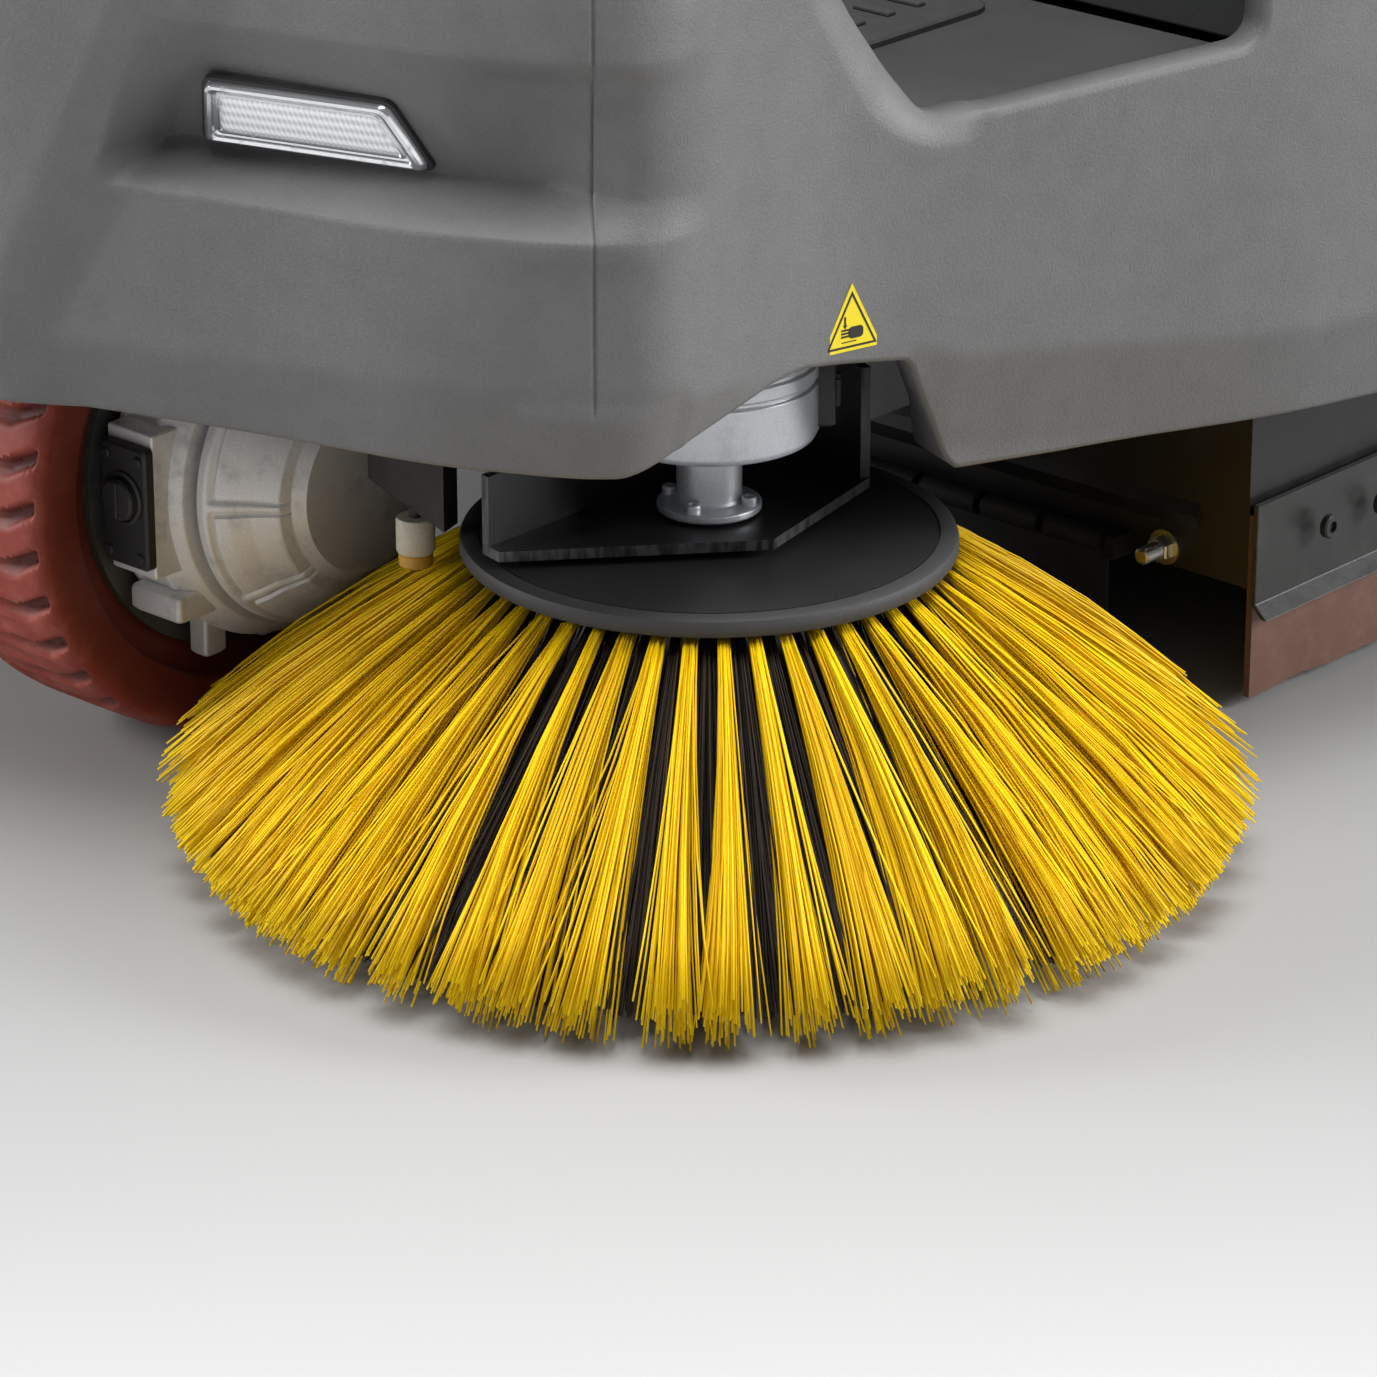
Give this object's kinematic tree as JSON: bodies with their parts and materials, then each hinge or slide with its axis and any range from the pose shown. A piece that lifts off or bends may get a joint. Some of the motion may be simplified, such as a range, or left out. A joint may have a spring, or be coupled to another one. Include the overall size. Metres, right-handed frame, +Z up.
{
  "type": "ride-on sweeper",
  "caption": "Ride-on floor sweeper with a steered front drive wheel, conical side brush, roller broom, driver's seat, tilting seat base and a rear dirt hopper.",
  "frame": {"origin": "centre of the machine's bounding box on the floor, under the wheels", "axes": "+Z up, -Y forward (towards the nose), +X to the driver's left"},
  "size_m": [0.989, 1.6692, 1.2026],
  "materials": {
    "steel_black": "textured",
    "cowl_plastic": "grained",
    "label_yellow": "gloss",
    "chrome": "polished",
    "lens": "ribbed",
    "dark_plastic": "grained",
    "mat_rubber": "matte",
    "grip": "satin",
    "safety_red": "gloss",
    "filter_paper": "matte",
    "aluminium": "cast",
    "seat_vinyl": "grained",
    "rim": "satin",
    "tyre_red": "matte",
    "tyre_grey": "matte",
    "disc_charcoal": "satin",
    "bristle_yellow": "satin",
    "bristle_black": "satin",
    "roller_white": "satin",
    "skirt_rubber": "satin"
  },
  "bodies": {
    "chassis": {"chassis_frame": "steel_black", "front_cowl": "cowl_plastic", "warning_label": "label_yellow", "headlamp_bezels": "chrome", "headlamp_lenses": "lens", "footwell_tub": "dark_plastic", "floor_mat": "mat_rubber", "dash_console": "dark_plastic", "display_panel": "dark_plastic", "steering_column": "dark_plastic", "rear_body": "cowl_plastic", "rear_bumper": "dark_plastic", "battery": "dark_plastic", "filter_box": "dark_plastic", "flat_filter": "filter_paper", "fan_housing": "dark_plastic", "control_box": "aluminium", "gear_motors": "aluminium", "deck_housing": "dark_plastic", "deck_skirts": "skirt_rubber", "deck_clamps": "steel_black", "deck_bolts": "chrome"},
    "steer_unit": {"steering_fork": "steel_black", "drive_gearbox": "aluminium", "drive_motor": "aluminium", "terminal_cover": "dark_plastic"},
    "front_wheel": {"front_rim": "rim", "front_tyre": "tyre_red"},
    "steering_wheel_body": {"steering_wheel": "grip"},
    "link_upper": {"brush_link_upper": "steel_black"},
    "link_lower": {"brush_link_lower": "steel_black"},
    "brush_carrier": {"brush_arm": "steel_black", "side_brush_motor": "aluminium"},
    "side_brush": {"side_brush_hub": "steel_black", "side_brush_disc": "disc_charcoal", "side_brush_bristles": "bristle_yellow"},
    "broom_lifter": {"broom_arms": "steel_black", "drive_belt": "mat_rubber"},
    "broom": {"broom_core": "aluminium", "broom_bristles": "bristle_black"},
    "broom_pulley": {"broom_drive": "aluminium"},
    "rear_wheel_left": {"rear_rim_left": "rim", "rear_tyre_left": "tyre_grey"},
    "rear_wheel_right": {"rear_rim_right": "rim", "rear_tyre_right": "tyre_grey"},
    "hopper": {"hopper_bin": "dark_plastic"},
    "hopper_wheels": {"hopper_rollers": "mat_rubber"},
    "hood": {"rear_hood": "cowl_plastic"},
    "seat_base": {"seat_platform": "steel_black"},
    "seat": {"seat_shell": "dark_plastic", "seat_cushion": "seat_vinyl", "back_cushion": "seat_vinyl"},
    "accelerator": {"accelerator_pedal": "mat_rubber"},
    "brake": {"brake_pedal": "mat_rubber"},
    "stop_button": {"emergency_stop": "safety_red"},
    "key": {"key_switch": "chrome"},
    "dial": {"program_dial": "dark_plastic"},
    "fan": {"fan_impeller": "aluminium"},
    "flap": {"front_flap": "mat_rubber"},
    "roller": {"guide_roller": "roller_white"}
  },
  "joints": [
    {"name": "front_steer", "type": "hinge", "parent": "chassis", "child": "steer_unit", "pos_m": [-0.0295, -0.62265, 0.3], "axis": [0, 0, 1], "range_deg": [-55, 55], "deforming": ["side_brush_bristles"]},
    {"name": "front_wheel_spin", "type": "hinge", "parent": "steer_unit", "child": "front_wheel", "pos_m": [-0.0575, -0.62265, 0.143], "axis": [1, 0, 0], "continuous": true},
    {"name": "steering_wheel_turn", "type": "hinge", "parent": "chassis", "child": "steering_wheel_body", "pos_m": [-0.0295, -0.54265, 0.95], "axis": [0, 0.4879, 0.8729], "range_deg": [-220, 220]},
    {"name": "side_brush_lift", "type": "hinge", "parent": "chassis", "child": "link_upper", "pos_m": [0.2285, -0.34065, 0.222], "axis": [-1, 0, 0], "range_deg": [0, 23]},
    {"name": "lower_link_follow", "type": "hinge", "parent": "chassis", "child": "link_lower", "pos_m": [0.2285, -0.34065, 0.19], "axis": [-1, 0, 0], "range_deg": [0, 23]},
    {"name": "carrier_level", "type": "hinge", "parent": "link_upper", "child": "brush_carrier", "pos_m": [0.2285, -0.44065, 0.222], "axis": [-1, 0, 0], "range_deg": [-23, 0]},
    {"name": "side_brush_spin", "type": "hinge", "parent": "brush_carrier", "child": "side_brush", "pos_m": [0.2395, -0.57965, 0.15], "axis": [0, 0, 1], "continuous": true},
    {"name": "broom_lift", "type": "hinge", "parent": "chassis", "child": "broom_lifter", "pos_m": [-0.0295, -0.03265, 0.225], "axis": [-1, 0, 0], "range_deg": [0, 9]},
    {"name": "broom_spin", "type": "hinge", "parent": "broom_lifter", "child": "broom", "pos_m": [-0.0295, -0.14265, 0.117], "axis": [1, 0, 0], "continuous": true},
    {"name": "broom_pulley_spin", "type": "hinge", "parent": "chassis", "child": "broom_pulley", "pos_m": [-0.3725, -0.03265, 0.225], "axis": [1, 0, 0], "continuous": true},
    {"name": "rear_left_spin", "type": "hinge", "parent": "chassis", "child": "rear_wheel_left", "pos_m": [0.3655, 0.38735, 0.14], "axis": [1, 0, 0], "continuous": true},
    {"name": "rear_right_spin", "type": "hinge", "parent": "chassis", "child": "rear_wheel_right", "pos_m": [-0.4245, 0.38735, 0.14], "axis": [1, 0, 0], "continuous": true},
    {"name": "hopper_slide", "type": "slide", "parent": "chassis", "child": "hopper", "axis": [0, 1, 0], "range_m": [0, 0.5]},
    {"name": "hopper_roller_spin", "type": "hinge", "parent": "hopper", "child": "hopper_wheels", "pos_m": [-0.0295, 0.70735, 0.0245], "axis": [1, 0, 0], "continuous": true},
    {"name": "hood_open", "type": "hinge", "parent": "chassis", "child": "hood", "pos_m": [-0.0295, 0.78535, 0.505], "axis": [-1, 0, 0], "range_deg": [0, 70]},
    {"name": "seat_tilt", "type": "hinge", "parent": "chassis", "child": "seat_base", "pos_m": [-0.0295, -0.33265, 0.641], "axis": [1, 0, 0], "range_deg": [0, 30]},
    {"name": "seat_slide", "type": "slide", "parent": "seat_base", "child": "seat", "axis": [0, 1, 0], "range_m": [-0.03, 0.05]},
    {"name": "accelerator_press", "type": "hinge", "parent": "chassis", "child": "accelerator", "pos_m": [-0.1945, -0.57765, 0.36], "axis": [1, 0, 0], "range_deg": [0, 18], "stiffness_Nm_per_rad": 3, "springref_deg": -8.59},
    {"name": "brake_press", "type": "hinge", "parent": "chassis", "child": "brake", "pos_m": [0.1355, -0.57765, 0.36], "axis": [1, 0, 0], "range_deg": [0, 18], "stiffness_Nm_per_rad": 3, "springref_deg": -8.59},
    {"name": "stop_press", "type": "slide", "parent": "chassis", "child": "stop_button", "axis": [0, -0.8632, -0.5048], "range_m": [0, 0.005]},
    {"name": "key_turn", "type": "hinge", "parent": "chassis", "child": "key", "pos_m": [0.1455, -0.72803, 0.674], "axis": [0, 0.8632, 0.5048], "range_deg": [-90, 0]},
    {"name": "dial_turn", "type": "hinge", "parent": "chassis", "child": "dial", "pos_m": [0.1035, -0.72101, 0.662], "axis": [0, 0.8632, 0.5048], "range_deg": [-120, 120]},
    {"name": "fan_spin", "type": "hinge", "parent": "chassis", "child": "fan", "pos_m": [-0.1595, 0.30735, 0.5], "axis": [0, 0, 1], "continuous": true},
    {"name": "flap_swing", "type": "hinge", "parent": "chassis", "child": "flap", "pos_m": [-0.0295, -0.29665, 0.068], "axis": [-1, 0, 0], "range_deg": [0, 20]},
    {"name": "guide_roller_spin", "type": "hinge", "parent": "chassis", "child": "roller", "pos_m": [0.1385, -0.66765, 0.146], "axis": [0, 0, 1], "continuous": true}
  ],
  "couplings": [
    {"joint": "steering_wheel_turn", "follows": "front_steer", "ratio": 4},
    {"joint": "lower_link_follow", "follows": "side_brush_lift", "ratio": 1},
    {"joint": "carrier_level", "follows": "side_brush_lift", "ratio": -1},
    {"joint": "broom_pulley_spin", "follows": "broom_spin", "ratio": 1.8}
  ]
}
